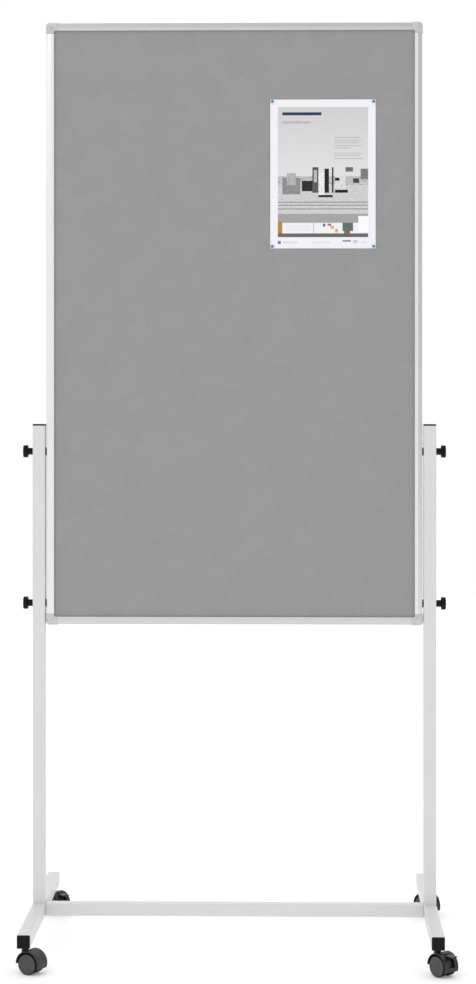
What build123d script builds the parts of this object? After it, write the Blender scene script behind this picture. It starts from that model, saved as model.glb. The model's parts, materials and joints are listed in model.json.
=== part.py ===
from build123d import *

import os
from math import cos, radians, sin

from build123d.topology import SkipClean

# A mobile board on a tubular stand: grey felt pin board on the front, white enamelled
# steel on the rear. Millimetres. X runs to the right, Y from front to rear, Z up.
# The origin is on the floor, midway between the two posts.

# Board
BOARD_WIDTH = 750
BOARD_HEIGHT = 1200
BOARD_BOTTOM = 634
RAIL_WIDTH = 15
RAIL_DEPTH = 20
RAIL_FACE_FLAT = 6.5
RAIL_FACE_SLANT = 2
RAIL_OUTER_RADIUS = 1.2
RAIL_INNER_RADIUS = 1
SLOT_LIP = 1.8
SLOT_OPENING = 8.8
SLOT_CAVITY_WIDTH = 14
SLOT_CAVITY_DEPTH = 4.8
PANEL_THICKNESS = 13
PANEL_GROOVE_DEPTH = 6
PANEL_EDGE_GAP = 0.5
FELT_THICKNESS = 2
STEEL_THICKNESS = 0.6
VISIBLE_FACE_MARGIN = 0.2
VISIBLE_FACE_CORNER_RADIUS = 4.5

# Corner caps
CORNER_LEG = 21
CORNER_PROUD = 1
CORNER_OUTER_RADIUS = 7.5
CORNER_INNER_RADIUS = 4
CORNER_EDGE_RADIUS = 1.9
TONGUE_LENGTH = 10
TONGUE_PLAY = 0.2
SET_SCREW_RADIUS = 2
SET_SCREW_LENGTH = 6

# Pinned sheet
SHEET_WIDTH = 210
SHEET_HEIGHT = 297
SHEET_THICKNESS = 0.3
SHEET_CENTRE_X = 177
SHEET_TOP_BELOW_BOARD_TOP = 153
PIN_INSET = 4
PIN_HEAD_RADIUS = 3
PIN_HEAD_HEIGHT = 4
PIN_DOME_RADIUS = 2.4
PIN_NEEDLE_RADIUS = 0.5
PIN_NEEDLE_LENGTH = 8

# Stand
TUBE = 25
TUBE_WALL = 1.5
TUBE_RADIUS = 2
GAP_TO_BOARD = 2.5
FOOT_UNDERSIDE = 52
FOOT_LENGTH = 550
POST_TOP = 1033.5
CAP_THICKNESS = 3
CAP_PLUG_DEPTH = 12
CAP_PLUG_PLAY = 0.1
CAP_TAPER = 6
END_PLATE_THICKNESS = 1
END_PLATE_SIZE = 23
NUT_BLOCK_LENGTH = 6

# Fasteners of the stand
POST_BOLT_RADIUS = 3
POST_BOLT_HEAD_RADIUS = 5.5
POST_BOLT_HEAD_HEIGHT = 3.3
CROSSBAR_BOLT_RADIUS = 2.5
CROSSBAR_BOLT_HEAD_RADIUS = 4.75
CROSSBAR_BOLT_HEAD_HEIGHT = 2.8
CROSSBAR_BOLT_SPACING = 15

# Clamps: knob with stud, spacer and nut
KNOB_HEIGHTS = (676, 979)
STUD_RADIUS = 4
STUD_HOLE_RADIUS = 4.3
STUD_RUNNING_CLEARANCE = 0.05
STUD_END_GAP = 0.4
KNOB_HUB_RADIUS = 6.9
KNOB_HUB_LENGTH = 9.7
KNOB_HEAD_RADIUS = 12.6
KNOB_HEAD_LENGTH = 9.5
KNOB_LOBES = 6
KNOB_NOTCH_RADIUS = 3.6
KNOB_NOTCH_DEPTH = 1.7
KNOB_LOBE_ROUNDING = 1.4
KNOB_EDGE_RADIUS = 1.6
KNOB_CLEARANCE = 0.3
SPACER_RADIUS = 8
SPACER_THICKNESS = 2.4
CLAMP_NUT_LENGTH = 18

# Twin-wheel casters
CASTER_INSET = 30
WHEEL_RADIUS = 20
CASTER_TRAIL = 14.5
WHEEL_INNER_FACE = 5.6
WHEEL_OUTER_FACE = 16.7
WHEEL_RIM = 3.2
WHEEL_DISC_THICKNESS = 2.2
WHEEL_DISH_DEPTH = 0.6
WHEEL_EDGE_RADIUS = 1.2
HUB_RADIUS = 5
AXLE_RADIUS = 2.5
AXLE_HALF_LENGTH = 13.6
AXLE_RUNNING_CLEARANCE = 0.05
AXLE_END_GAP = 0.4
GUARD_RADIUS = 25
GUARD_THICKNESS = 2.2
GUARD_HALF_WIDTH = 17
GUARD_EDGE_RADIUS = 0.8
GUARD_TRAILING_ANGLE = 20
WEB_HALF_THICKNESS = 5
AXLE_BOSS_RADIUS = 7
NECK_RADIUS = 7
NECK_TOP = 49.5
NECK_BOTTOM = 28
STEM_LOWER_RADIUS = 4
STEM_BOTTOM = 36
STEM_CHAMFER = 1
STEM_COLLAR_THICKNESS = 1.3
STEM_RADIUS = 5
STEM_TOP = 73
STEM_RUNNING_CLEARANCE = 0.08
SOCKET_RADIUS = 6.5
SOCKET_FLANGE_RADIUS = 8.5
SOCKET_FLANGE_THICKNESS = 1
SOCKET_TOP = 74

# Brake lever, measured from the axle: forward along the trail, then up
LEVER_PIVOT = (4, 14)
LEVER_PIVOT_RADIUS = 3
LEVER_ARM_END = (11, 18.6)
LEVER_ARM_END_RADIUS = 2
LEVER_HALF_THICKNESS = 2.9
LEVER_TRUNNION_RADIUS = 1.2
LEVER_TRUNNION_REACH = 4.6
LEVER_PAD_RADII = (21.6, 24.8)
LEVER_PAD_ANGLES = (42, 58)
LEVER_PAD_HALF_WIDTH = 7
LEVER_TAB_CENTRE = (21, 21)
LEVER_TAB_SIZE = (22, 2.4)
LEVER_TAB_RADIUS = 1.1
BRAKE_SLOT_ANGLES = (0, 70)
BRAKE_SLOT_FLOOR_RADIUS = 20
BRAKE_SLOT_SIDE_GAP = 0.6
BRAKE_POCKET_GAP = 0.3
BRAKE_POCKET_PIVOT_GAP = 1.2
BRAKE_POCKET_END_GAP = 2.6

# Where each caster is, which way its wheels trail (degrees from +X), and its brake
CASTERS = (
    ("front_left", -1, -1, -27, False),
    ("front_right", 1, -1, -50, True),
    ("rear_left", -1, 1, -45, True),
    ("rear_right", 1, 1, -57, True),
)

# Sizes that follow from the ones above
POST_X = BOARD_WIDTH / 2 + GAP_TO_BOARD + TUBE / 2
FOOT_TOP = FOOT_UNDERSIDE + TUBE
FOOT_AXIS_Z = FOOT_UNDERSIDE + TUBE / 2
INNER_FACE_X = POST_X - TUBE / 2
OUTER_FACE_X = POST_X + TUBE / 2
TUBE_INSIDE = TUBE - 2 * TUBE_WALL
BOARD_TOP = BOARD_BOTTOM + BOARD_HEIGHT
BOARD_CENTRE_Z = BOARD_BOTTOM + BOARD_HEIGHT / 2
PANEL_INSET = RAIL_WIDTH - PANEL_GROOVE_DEPTH + PANEL_EDGE_GAP
PANEL_WIDTH = BOARD_WIDTH - 2 * PANEL_INSET
PANEL_HEIGHT = BOARD_HEIGHT - 2 * PANEL_INSET
PANEL_FRONT_Y = -PANEL_THICKNESS / 2
CAVITY_CENTRE = SLOT_LIP + SLOT_CAVITY_DEPTH / 2
SHEET_CENTRE_Z = BOARD_TOP - SHEET_TOP_BELOW_BOARD_TOP - SHEET_HEIGHT / 2
CASTER_Y = FOOT_LENGTH / 2 - CASTER_INSET
WHEEL_SPACE_RADIUS = GUARD_RADIUS - GUARD_THICKNESS
SIDES = (("left", -1), ("right", 1))


def save(piece, name):
    """Label a finished piece and write it as its own STEP file."""
    piece.part.label = name
    export_step(piece.part, f"parts/{name}.step")


def tube_section():
    """Add the stand's square tube section to the sketch being built."""
    RectangleRounded(TUBE, TUBE, TUBE_RADIUS)
    RectangleRounded(TUBE_INSIDE, TUBE_INSIDE, TUBE_RADIUS - TUBE_WALL, mode=Mode.SUBTRACT)


def cylinder(plane, radius, length, mode=Mode.ADD):
    """Add or remove a cylinder that starts on a plane and follows its normal."""
    with BuildSketch(plane) as disc:
        Circle(radius)
    extrude(disc.sketch, amount=length, mode=mode)


def end_cap(mouth):
    """Add a push-in cap for a tube end; the plane lies on the mouth and faces out."""
    plug = TUBE_INSIDE - 2 * CAP_PLUG_PLAY
    with BuildSketch(mouth) as cover:
        RectangleRounded(TUBE, TUBE, TUBE_RADIUS)
    extrude(cover.sketch, amount=CAP_THICKNESS, taper=CAP_TAPER)
    with BuildSketch(mouth) as ring:
        RectangleRounded(plug, plug, TUBE_RADIUS - TUBE_WALL)
        Rectangle(plug - 2 * TUBE_WALL, plug - 2 * TUBE_WALL, mode=Mode.SUBTRACT)
    extrude(ring.sketch, amount=-CAP_PLUG_DEPTH)


def plane_along(origin, direction):
    """Return a plane at a point whose normal is a world direction."""
    return Plane(origin=origin, z_dir=direction)


# Stand


def make_posts():
    """Two upright tubes with the holes for the clamp studs."""
    for side, sign in SIDES:
        with BuildPart() as post:
            with BuildSketch(Plane((sign * POST_X, 0, FOOT_TOP))):
                tube_section()
            extrude(amount=POST_TOP - CAP_THICKNESS - FOOT_TOP)
            for height in KNOB_HEIGHTS:
                start = plane_along((sign * POST_X - TUBE, 0, height), (1, 0, 0))
                cylinder(start, STUD_HOLE_RADIUS, 2 * TUBE, Mode.SUBTRACT)
        save(post, f"{side}_post")


def make_post_caps():
    """Black caps in the posts' open tops."""
    with BuildPart() as caps:
        for _, sign in SIDES:
            end_cap(Plane((sign * POST_X, 0, POST_TOP - CAP_THICKNESS)))
    save(caps, "post_top_caps")


def make_feet():
    """Two tubes from front to back, drilled for the post, the crossbar and the casters."""
    tube_length = FOOT_LENGTH - 2 * CAP_THICKNESS
    for side, sign in SIDES:
        foot_x = sign * POST_X
        with BuildPart() as foot:
            with BuildSketch(plane_along((foot_x, -tube_length / 2, FOOT_AXIS_Z), (0, 1, 0))):
                tube_section()
            extrude(amount=tube_length)
            under = FOOT_UNDERSIDE - CAP_THICKNESS
            cylinder(Plane((foot_x, 0, under)), POST_BOLT_RADIUS, 2 * TUBE, Mode.SUBTRACT)
            for offset in (-CROSSBAR_BOLT_SPACING / 2, CROSSBAR_BOLT_SPACING / 2):
                start = plane_along((foot_x - TUBE, offset, FOOT_AXIS_Z), (1, 0, 0))
                cylinder(start, CROSSBAR_BOLT_RADIUS, 2 * TUBE, Mode.SUBTRACT)
            for caster_y in (-CASTER_Y, CASTER_Y):
                cylinder(Plane((foot_x, caster_y, under)), SOCKET_RADIUS, TUBE / 2, Mode.SUBTRACT)
        save(foot, f"{side}_foot")


def make_foot_caps():
    """Black caps in the four open ends of the feet."""
    mouth_y = FOOT_LENGTH / 2 - CAP_THICKNESS
    with BuildPart() as caps:
        for _, sign in SIDES:
            for end in (-1, 1):
                end_cap(plane_along((sign * POST_X, end * mouth_y, FOOT_AXIS_Z), (0, end, 0)))
    save(caps, "foot_end_caps")


def make_crossbar():
    """The tube that joins the feet, and the threaded plates welded into its ends."""
    half_length = INNER_FACE_X - END_PLATE_THICKNESS
    with BuildPart() as crossbar:
        with BuildSketch(plane_along((-half_length, 0, FOOT_AXIS_Z), (1, 0, 0))):
            tube_section()
        extrude(amount=2 * half_length)
    save(crossbar, "crossbar")

    with BuildPart() as end_plates:
        for _, sign in SIDES:
            face = plane_along((sign * half_length, 0, FOOT_AXIS_Z), (sign, 0, 0))
            with BuildSketch(face):
                Rectangle(END_PLATE_SIZE, END_PLATE_SIZE)
            extrude(amount=END_PLATE_THICKNESS)
            with BuildSketch(face):
                Rectangle(TUBE_INSIDE - 1, TUBE_INSIDE - 1)
            extrude(amount=-NUT_BLOCK_LENGTH)
            for offset in (-CROSSBAR_BOLT_SPACING / 2, CROSSBAR_BOLT_SPACING / 2):
                start = plane_along((sign * INNER_FACE_X, offset, FOOT_AXIS_Z), (-sign, 0, 0))
                cylinder(start, CROSSBAR_BOLT_RADIUS, 2 * NUT_BLOCK_LENGTH, Mode.SUBTRACT)
    save(end_plates, "crossbar_end_plates")


def make_crossbar_bolts():
    """Four bolts, from outside each foot into the crossbar's end plates."""
    with BuildPart() as bolts:
        for _, sign in SIDES:
            for offset in (-CROSSBAR_BOLT_SPACING / 2, CROSSBAR_BOLT_SPACING / 2):
                seat = (sign * OUTER_FACE_X, offset, FOOT_AXIS_Z)
                outward = plane_along(seat, (sign, 0, 0))
                cylinder(outward, CROSSBAR_BOLT_HEAD_RADIUS, CROSSBAR_BOLT_HEAD_HEIGHT)
                inward = plane_along(seat, (-sign, 0, 0))
                cylinder(inward, CROSSBAR_BOLT_RADIUS, TUBE + END_PLATE_THICKNESS + NUT_BLOCK_LENGTH)
    save(bolts, "crossbar_bolts")


def make_post_fixings():
    """A threaded block in each post's lower end, and the bolt that pulls it to the foot."""
    with BuildPart() as blocks:
        for _, sign in SIDES:
            with BuildSketch(Plane((sign * POST_X, 0, FOOT_TOP))):
                Rectangle(TUBE_INSIDE - 1, TUBE_INSIDE - 1)
                Circle(POST_BOLT_RADIUS, mode=Mode.SUBTRACT)
            extrude(amount=NUT_BLOCK_LENGTH)
    save(blocks, "post_nut_blocks")

    with BuildPart() as bolts:
        for _, sign in SIDES:
            head = Plane((sign * POST_X, 0, FOOT_UNDERSIDE - POST_BOLT_HEAD_HEIGHT))
            cylinder(head, POST_BOLT_HEAD_RADIUS, POST_BOLT_HEAD_HEIGHT)
            shank = Plane((sign * POST_X, 0, FOOT_UNDERSIDE))
            cylinder(shank, POST_BOLT_RADIUS, TUBE + NUT_BLOCK_LENGTH)
    save(bolts, "post_bolts")


def make_caster_sockets():
    """Flanged sleeves in the feet, in which the caster stems turn."""
    bore = STEM_RADIUS + STEM_RUNNING_CLEARANCE
    with BuildPart() as sockets:
        for _, sign in SIDES:
            for end in (-1, 1):
                centre = (sign * POST_X, end * CASTER_Y)
                flange = Plane((*centre, FOOT_UNDERSIDE - SOCKET_FLANGE_THICKNESS))
                cylinder(flange, SOCKET_FLANGE_RADIUS, SOCKET_FLANGE_THICKNESS)
                cylinder(Plane((*centre, FOOT_UNDERSIDE)), SOCKET_RADIUS, SOCKET_TOP - FOOT_UNDERSIDE)
                cylinder(flange, bore, TUBE, Mode.SUBTRACT)
    save(sockets, "caster_sockets")


# Clamps that hold the board between the posts


def make_clamp_spacers():
    """Black washers on the studs, between each post and the board's side rail."""
    with BuildPart() as spacers:
        for _, sign in SIDES:
            for height in KNOB_HEIGHTS:
                face = plane_along((sign * INNER_FACE_X, 0, height), (-sign, 0, 0))
                with BuildSketch(face):
                    Circle(SPACER_RADIUS)
                    Circle(STUD_HOLE_RADIUS, mode=Mode.SUBTRACT)
                extrude(amount=SPACER_THICKNESS)
    save(spacers, "clamp_spacers")


def make_clamp_nuts():
    """Nuts that run in the channel of the side rails, one for each stud."""
    play = TONGUE_PLAY
    cavity_face = BOARD_WIDTH / 2 - SLOT_LIP - play
    with BuildPart() as nuts:
        for _, sign in SIDES:
            for height in KNOB_HEIGHTS:
                face = Plane(
                    origin=(sign * cavity_face, 0, height), x_dir=(0, 0, 1), z_dir=(-sign, 0, 0)
                )
                with BuildSketch(face):
                    Rectangle(CLAMP_NUT_LENGTH, SLOT_CAVITY_WIDTH - 2 * play)
                    Circle(STUD_RADIUS + STUD_RUNNING_CLEARANCE, mode=Mode.SUBTRACT)
                extrude(amount=SLOT_CAVITY_DEPTH - 2 * play)
    save(nuts, "clamp_nuts")


def make_knobs():
    """Lobed knobs with a stud through the post, each turning in its clamp nut."""
    head_face = OUTER_FACE_X + KNOB_CLEARANCE + KNOB_HUB_LENGTH
    stud_end = BOARD_WIDTH / 2 - SLOT_LIP - SLOT_CAVITY_DEPTH + STUD_END_GAP
    for side, sign in SIDES:
        for level, height in zip(("lower", "upper"), KNOB_HEIGHTS):
            with BuildPart() as knob:
                outward = plane_along((sign * head_face, 0, height), (sign, 0, 0))
                with BuildSketch(outward):
                    Circle(KNOB_HEAD_RADIUS)
                    notch_centre = KNOB_HEAD_RADIUS + KNOB_NOTCH_RADIUS - KNOB_NOTCH_DEPTH
                    with PolarLocations(notch_centre, KNOB_LOBES):
                        Circle(KNOB_NOTCH_RADIUS, mode=Mode.SUBTRACT)
                    fillet(vertices(), KNOB_LOBE_ROUNDING)
                extrude(amount=KNOB_HEAD_LENGTH)
                end_faces = faces().filter_by(Axis.X)
                fillet(end_faces.edges(), KNOB_EDGE_RADIUS)
                cylinder(outward, KNOB_HUB_RADIUS, -KNOB_HUB_LENGTH)
                cylinder(outward, STUD_RADIUS, stud_end - head_face)
            save(knob, f"{side}_{level}_knob")


# Board


def rail_outline():
    """Add the rail's outline: faces flat near the panel that slant back to the outer edge."""
    ridge_x = RAIL_WIDTH - RAIL_FACE_FLAT
    ridge_y = RAIL_DEPTH / 2
    edge_y = ridge_y - RAIL_FACE_SLANT
    front = [(0, -edge_y), (ridge_x, -ridge_y), (RAIL_WIDTH, -ridge_y)]
    rear = [(x, -y) for x, y in reversed(front)]
    Polygon(*front, *rear, align=None)


def make_rails():
    """Four lengths of one extrusion: a channel outside, a groove for the panel inside."""
    half_width = BOARD_WIDTH / 2
    side_length = BOARD_HEIGHT - 2 * CORNER_LEG
    level_length = BOARD_WIDTH - 2 * CORNER_LEG
    lowest = BOARD_BOTTOM + CORNER_LEG
    start_x = CORNER_LEG - half_width
    rails = (
        ("left", (-half_width, 0, lowest), (1, 0, 0), (0, 0, 1), side_length),
        ("right", (half_width, 0, lowest), (-1, 0, 0), (0, 0, 1), side_length),
        ("bottom", (start_x, 0, BOARD_BOTTOM), (0, 0, 1), (1, 0, 0), level_length),
        ("top", (start_x, 0, BOARD_TOP), (0, 0, -1), (1, 0, 0), level_length),
    )
    for name, corner, inward, along, length in rails:
        with BuildPart() as rail:
            with BuildSketch(Plane(origin=corner, x_dir=inward, z_dir=along)):
                rail_outline()
                corners = vertices().group_by(Axis.X)
                fillet(corners[0], RAIL_OUTER_RADIUS)
                fillet(corners[-1], RAIL_INNER_RADIUS)
                with Locations((SLOT_LIP / 2, 0)):
                    Rectangle(SLOT_LIP, SLOT_OPENING, mode=Mode.SUBTRACT)
                with Locations((CAVITY_CENTRE, 0)):
                    Rectangle(SLOT_CAVITY_DEPTH, SLOT_CAVITY_WIDTH, mode=Mode.SUBTRACT)
                with Locations((RAIL_WIDTH - PANEL_GROOVE_DEPTH / 2, 0)):
                    Rectangle(PANEL_GROOVE_DEPTH, PANEL_THICKNESS, mode=Mode.SUBTRACT)
            extrude(amount=length)
        save(rail, f"{name}_rail")


def board_plane(y):
    """Return the board's middle plane moved to a depth; its normal points to the rear."""
    return Plane(origin=(0, y, BOARD_CENTRE_Z), x_dir=(-1, 0, 0), z_dir=(0, 1, 0))


def set_screw_seats(sign, up):
    """Return the planes on which one corner's two set screws start, facing inward."""
    reach = CORNER_LEG + TONGUE_LENGTH / 2
    outer = CAVITY_CENTRE + SLOT_CAVITY_DEPTH / 2 - SET_SCREW_LENGTH
    edge_x = BOARD_WIDTH / 2
    edge_z = BOARD_HEIGHT / 2
    return (
        plane_along(
            (sign * (edge_x - outer), 0, BOARD_CENTRE_Z + up * (edge_z - reach)), (-sign, 0, 0)
        ),
        plane_along(
            (sign * (edge_x - reach), 0, BOARD_CENTRE_Z + up * (edge_z - outer)), (0, 0, -up)
        ),
    )


def make_corner_caps():
    """Plastic corner pieces whose tongues slide into the ends of the rails."""
    leg = CORNER_LEG + CORNER_PROUD
    arm = RAIL_WIDTH + CORNER_PROUD
    tongue_centre = CORNER_PROUD + CAVITY_CENTRE
    tongue_thickness = SLOT_CAVITY_DEPTH - 2 * TONGUE_PLAY
    tongue_half_depth = SLOT_CAVITY_WIDTH / 2 - TONGUE_PLAY
    for side, sign in SIDES:
        for level, up in (("bottom", -1), ("top", 1)):
            corner_x = sign * (BOARD_WIDTH / 2 + CORNER_PROUD)
            corner_z = BOARD_CENTRE_Z + up * (BOARD_HEIGHT / 2 + CORNER_PROUD)
            # Sketch axes point from the corner inward: X along the board, Y up or down it.
            face = Plane(origin=(corner_x, 0, corner_z), x_dir=(-sign, 0, 0), z_dir=(0, -sign * up, 0))
            with BuildPart() as cap:
                with BuildSketch(face):
                    Rectangle(leg, arm, align=Align.MIN)
                    Rectangle(arm, leg, align=Align.MIN)
                    fillet(vertices().sort_by_distance((0, 0))[0], CORNER_OUTER_RADIUS)
                    fillet(vertices().sort_by_distance((arm, arm))[0], CORNER_INNER_RADIUS)
                extrude(amount=RAIL_DEPTH / 2 + CORNER_PROUD, both=True)
                fillet(faces().filter_by(Axis.Y).edges(), CORNER_EDGE_RADIUS)
                with BuildSketch(face):
                    with Locations((tongue_centre, leg)):
                        Rectangle(tongue_thickness, 2 * TONGUE_LENGTH)
                    with Locations((leg, tongue_centre)):
                        Rectangle(2 * TONGUE_LENGTH, tongue_thickness)
                extrude(amount=tongue_half_depth, both=True)
                with BuildSketch(board_plane(0)):
                    Rectangle(PANEL_WIDTH, PANEL_HEIGHT)
                extrude(amount=PANEL_THICKNESS / 2, both=True, mode=Mode.SUBTRACT)
                for seat in set_screw_seats(sign, up):
                    cylinder(seat, SET_SCREW_RADIUS, SET_SCREW_LENGTH, Mode.SUBTRACT)
            save(cap, f"{level}_{side}_corner_cap")


def make_set_screws():
    """Two set screws in each corner, which lock the tongues in the rails."""
    with BuildPart() as screws:
        for _, sign in SIDES:
            for up in (-1, 1):
                for seat in set_screw_seats(sign, up):
                    cylinder(seat, SET_SCREW_RADIUS, SET_SCREW_LENGTH)
    save(screws, "corner_set_screws")


def pin_locations():
    """Return the four pin places on the board's middle plane, as seen in its sketches."""
    reach_x = SHEET_WIDTH / 2 - PIN_INSET
    reach_z = SHEET_HEIGHT / 2 - PIN_INSET
    centre_z = SHEET_CENTRE_Z - BOARD_CENTRE_Z
    return [
        (across * reach_x - SHEET_CENTRE_X, up * reach_z + centre_z)
        for across in (-1, 1)
        for up in (-1, 1)
    ]


def make_panel():
    """The felt, the core and the white steel sheet, which fill the rails' groove."""
    core_front = PANEL_FRONT_Y + FELT_THICKNESS
    steel_front = -PANEL_FRONT_Y - STEEL_THICKNESS
    layers = (
        ("felt_face", PANEL_FRONT_Y, FELT_THICKNESS),
        ("board_core", core_front, steel_front - core_front),
        ("whiteboard_face", steel_front, STEEL_THICKNESS),
    )
    for name, front, thickness in layers:
        with BuildPart() as layer:
            with BuildSketch(board_plane(front)):
                Rectangle(PANEL_WIDTH, PANEL_HEIGHT)
            extrude(amount=thickness)
            if name == "whiteboard_face":
                outline_visible_face(front)
            else:
                drill_pin_holes()
        save(layer, name)


def outline_visible_face(front):
    """Make the part of the steel sheet between the rails a face of its own."""
    inset = 2 * (RAIL_WIDTH + VISIBLE_FACE_MARGIN)
    with BuildSketch(board_plane(front)) as visible:
        RectangleRounded(BOARD_WIDTH - inset, BOARD_HEIGHT - inset, VISIBLE_FACE_CORNER_RADIUS)
    with SkipClean():
        extrude(visible.sketch, amount=STEEL_THICKNESS, clean=False)


def drill_pin_holes():
    """Remove the holes of the four push pins from the layer being built."""
    with BuildSketch(board_plane(PANEL_FRONT_Y - SHEET_THICKNESS)) as needles:
        with Locations(*pin_locations()):
            Circle(PIN_NEEDLE_RADIUS)
    extrude(needles.sketch, amount=PIN_NEEDLE_LENGTH, mode=Mode.SUBTRACT)


def make_sheet_and_pins():
    """A sheet of paper held on the felt by four push pins."""
    sheet_front = board_plane(PANEL_FRONT_Y - SHEET_THICKNESS)
    with BuildPart() as sheet:
        with BuildSketch(sheet_front):
            with Locations((-SHEET_CENTRE_X, SHEET_CENTRE_Z - BOARD_CENTRE_Z)):
                Rectangle(SHEET_WIDTH, SHEET_HEIGHT)
        extrude(amount=SHEET_THICKNESS)
        drill_pin_holes()
    save(sheet, "pinned_sheet")

    with BuildPart() as pins:
        with BuildSketch(sheet_front):
            with Locations(*pin_locations()):
                Circle(PIN_HEAD_RADIUS)
        extrude(amount=-PIN_HEAD_HEIGHT)
        fillet(faces().filter_by(Axis.Y).sort_by(Axis.Y)[:4].edges(), PIN_DOME_RADIUS)
        with BuildSketch(sheet_front):
            with Locations(*pin_locations()):
                Circle(PIN_NEEDLE_RADIUS)
        extrude(amount=PIN_NEEDLE_LENGTH)
    save(pins, "push_pins")


# Casters


def polar(radius, angle):
    """Return the point at a radius and an angle in degrees."""
    return (radius * cos(radians(angle)), radius * sin(radians(angle)))


def sector_below_guard():
    """Remove from the sketch all that lies outside the guard's sweep around the wheels."""
    far = 2 * GUARD_RADIUS
    trailing = polar(far, -GUARD_TRAILING_ANGLE)
    Polygon((0, 0), (-far, 0), (-far, -far), (far, -far), trailing, align=None, mode=Mode.SUBTRACT)


def make_hood(name, level, side, braked):
    """The moulded hood: a guard over both wheels, a web between them and the neck."""
    with BuildPart() as hood:
        with BuildSketch(side):
            Circle(GUARD_RADIUS)
            Circle(WHEEL_SPACE_RADIUS, mode=Mode.SUBTRACT)
            sector_below_guard()
        extrude(amount=GUARD_HALF_WIDTH, both=True)
        rims = edges().filter_by(GeomType.CIRCLE).group_by(Edge.radius.fget)[-1]
        fillet(rims, GUARD_EDGE_RADIUS)
        with BuildSketch(side):
            Circle((GUARD_RADIUS + WHEEL_SPACE_RADIUS) / 2)
            sector_below_guard()
            Circle(AXLE_BOSS_RADIUS)
        extrude(amount=WEB_HALF_THICKNESS, both=True)
        cylinder(level.offset(NECK_BOTTOM), NECK_RADIUS, NECK_TOP - NECK_BOTTOM)
        for face_offset in (WEB_HALF_THICKNESS, -GUARD_HALF_WIDTH):
            wheel_space = side.offset(face_offset)
            cylinder(
                wheel_space, WHEEL_SPACE_RADIUS, GUARD_HALF_WIDTH - WEB_HALF_THICKNESS, Mode.SUBTRACT
            )
        cylinder(level.offset(STEM_BOTTOM), STEM_LOWER_RADIUS, NECK_TOP - STEM_BOTTOM, Mode.SUBTRACT)
        cylinder(side.offset(-GUARD_HALF_WIDTH), AXLE_RADIUS, 2 * GUARD_HALF_WIDTH, Mode.SUBTRACT)
        if braked:
            cut_brake_slot(side)
    save(hood, f"{name}_caster_hood")


def cut_brake_slot(side):
    """Open the guard and the web for the brake lever."""
    first, last = BRAKE_SLOT_ANGLES
    far = 2 * GUARD_RADIUS
    with BuildSketch(side) as slot:
        Polygon((0, 0), polar(far, first), polar(far, (first + last) / 2), polar(far, last), align=None)
        Circle(BRAKE_SLOT_FLOOR_RADIUS, mode=Mode.SUBTRACT)
    slot_half_width = LEVER_PAD_HALF_WIDTH + BRAKE_SLOT_SIDE_GAP
    extrude(slot.sketch, amount=slot_half_width, both=True, mode=Mode.SUBTRACT)
    with BuildSketch(side) as pocket:
        with Locations(LEVER_PIVOT):
            Circle(LEVER_PIVOT_RADIUS + BRAKE_POCKET_PIVOT_GAP)
        with Locations(LEVER_ARM_END):
            Circle(LEVER_ARM_END_RADIUS + BRAKE_POCKET_END_GAP)
        make_hull()
    pocket_half_width = LEVER_HALF_THICKNESS + BRAKE_POCKET_GAP
    extrude(pocket.sketch, amount=pocket_half_width, both=True, mode=Mode.SUBTRACT)
    with BuildSketch(side) as trunnions:
        with Locations(LEVER_PIVOT):
            Circle(LEVER_TRUNNION_RADIUS + AXLE_RUNNING_CLEARANCE)
    extrude(trunnions.sketch, amount=WEB_HALF_THICKNESS, both=True, mode=Mode.SUBTRACT)


def make_stem_and_axle(name, level, side):
    """The steel stem pressed into the hood's neck, and the axle pressed into its web."""
    with BuildPart() as stem:
        cylinder(level.offset(STEM_BOTTOM), STEM_LOWER_RADIUS, NECK_TOP - STEM_BOTTOM)
        cylinder(level.offset(NECK_TOP), NECK_RADIUS, STEM_COLLAR_THICKNESS)
        cylinder(level.offset(NECK_TOP), STEM_RADIUS, STEM_TOP - NECK_TOP)
        chamfer(faces().sort_by(Axis.Z)[-1].edges(), STEM_CHAMFER)
    save(stem, f"{name}_caster_stem")

    with BuildPart() as axle:
        cylinder(side.offset(-AXLE_HALF_LENGTH), AXLE_RADIUS, 2 * AXLE_HALF_LENGTH)
    save(axle, f"{name}_caster_axle")


def make_wheel(name, which, centre, along, outward):
    """One cup-shaped wheel: tread, outer disc with a shallow dish, and hub."""
    inner = Plane(origin=centre + outward * WHEEL_INNER_FACE, x_dir=along, z_dir=outward)
    width = WHEEL_OUTER_FACE - WHEEL_INNER_FACE
    cup_radius = WHEEL_RADIUS - WHEEL_RIM
    with BuildPart() as wheel:
        cylinder(inner, WHEEL_RADIUS, width)
        fillet(edges().filter_by(GeomType.CIRCLE), WHEEL_EDGE_RADIUS)
        with BuildSketch(inner):
            Circle(cup_radius)
            Circle(HUB_RADIUS, mode=Mode.SUBTRACT)
        extrude(amount=width - WHEEL_DISC_THICKNESS, mode=Mode.SUBTRACT)
        bore_depth = AXLE_HALF_LENGTH + AXLE_END_GAP - WHEEL_INNER_FACE
        cylinder(inner, AXLE_RADIUS + AXLE_RUNNING_CLEARANCE, bore_depth, Mode.SUBTRACT)
        cylinder(inner.offset(width), cup_radius, -WHEEL_DISH_DEPTH, Mode.SUBTRACT)
    save(wheel, f"{name}_caster_{which}_wheel")


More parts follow.
